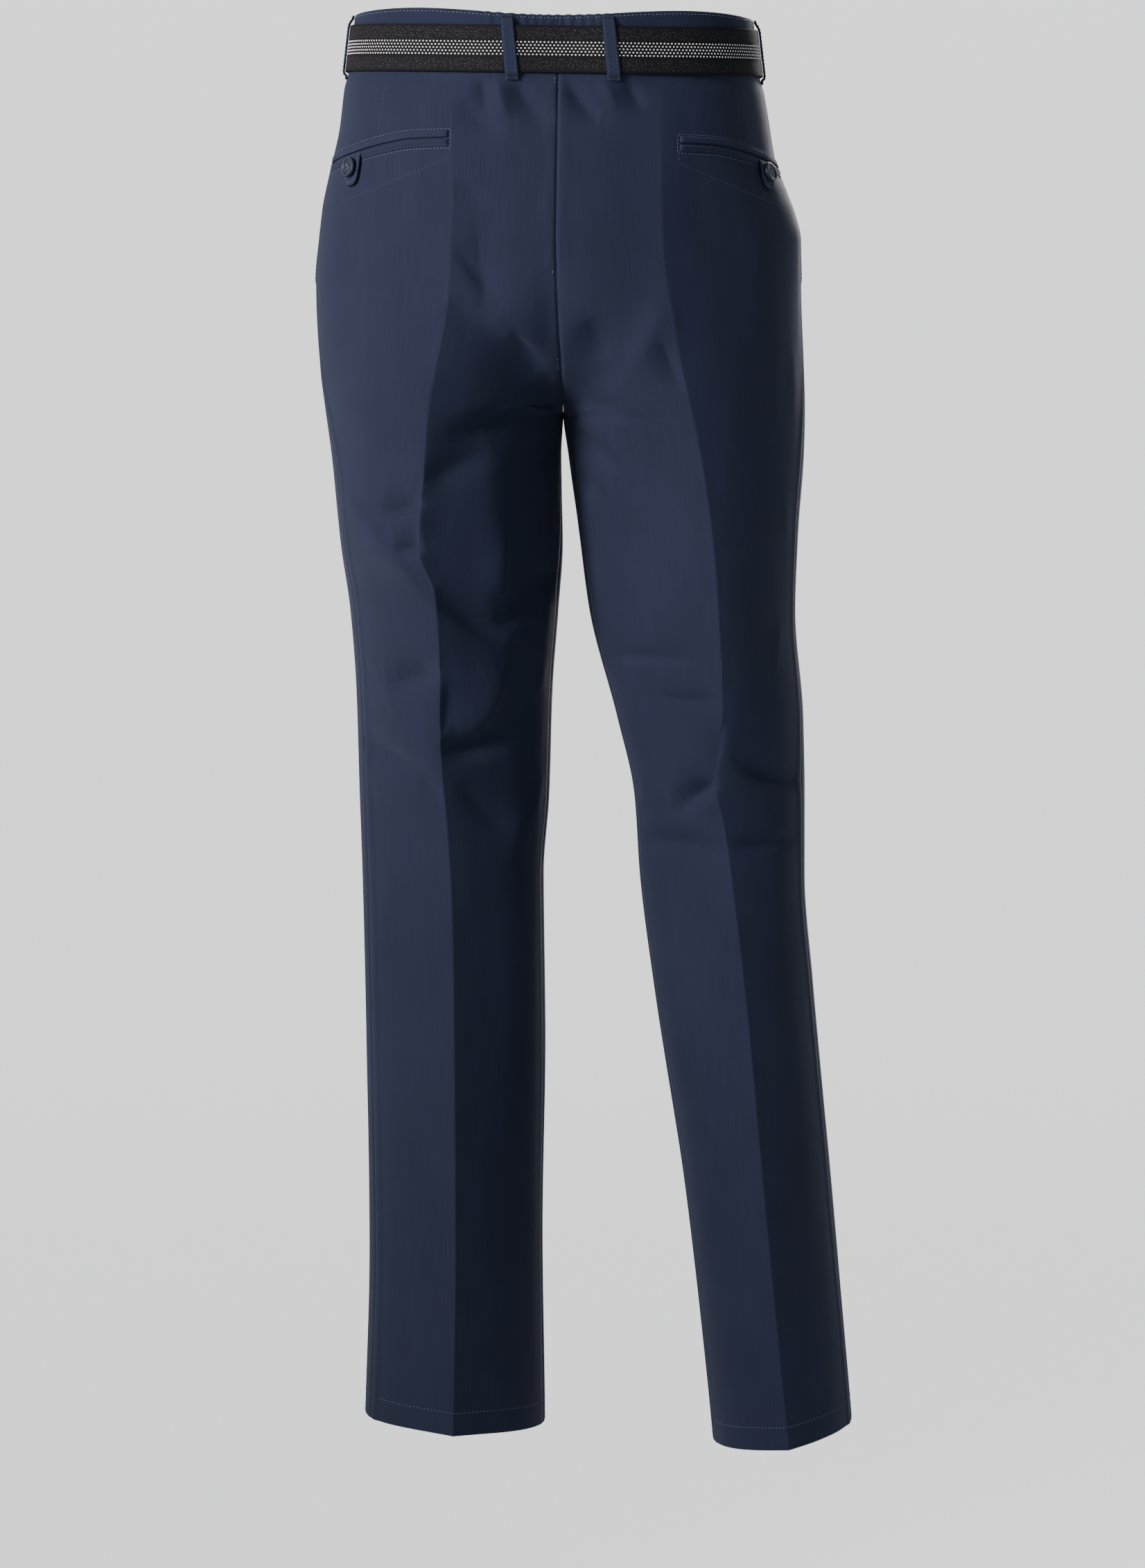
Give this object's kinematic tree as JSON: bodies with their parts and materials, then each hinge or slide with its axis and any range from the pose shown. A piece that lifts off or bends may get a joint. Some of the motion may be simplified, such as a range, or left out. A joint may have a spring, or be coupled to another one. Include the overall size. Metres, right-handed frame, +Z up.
{
  "type": "chino trousers with belt",
  "caption": "Navy cotton chino trousers in worn form, with welt back pockets, belt loops, a fly and a black webbing belt, open at the waist and both hems.",
  "frame": {"origin": "centre of the waist opening at the belt's mid-line", "axes": "+X the wearer's right, +Y the wearer's front, +Z up from the hems to the waist"},
  "size_m": [0.4065, 0.2532, 1.0817],
  "materials": {
    "navy_cotton": "matte twill with a slight sheen",
    "navy_trim": "the same twill, folded and edge-stitched",
    "webbing": "black webbing with a band of light dots",
    "button": "polished dark resin",
    "buckle_metal": "satin",
    "zip_tape": "dark woven tape",
    "zip_metal": "satin"
  },
  "bodies": {
    "root": {"back_panel_left": "navy_cotton", "back_panel_right": "navy_cotton", "front_panel_left": "navy_cotton", "front_panel_right": "navy_cotton", "back_pocket_upper_welt_left": "navy_trim", "back_pocket_lower_welt_left": "navy_trim", "back_pocket_upper_welt_right": "navy_trim", "back_pocket_lower_welt_right": "navy_trim", "pocket_tab_left": "navy_trim", "pocket_tab_right": "navy_trim", "pocket_button_left": "button", "pocket_button_right": "button", "front_pocket_edge_left": "navy_trim", "front_pocket_edge_right": "navy_trim", "fly_flap": "navy_trim", "fly_zip_tape": "zip_tape", "fly_zip_slider": "zip_metal", "fly_zip_pull": "zip_metal", "waistband_left": "navy_cotton", "waistband_right": "navy_cotton", "waist_button": "button", "belt_strap": "webbing", "belt_buckle": "buckle_metal", "belt_loop_back_left": "navy_trim", "belt_loop_back_right": "navy_trim", "belt_loop_side_left": "navy_trim", "belt_loop_side_right": "navy_trim", "belt_loop_front_left": "navy_trim", "belt_loop_front_right": "navy_trim"}
  },
  "joints": []
}
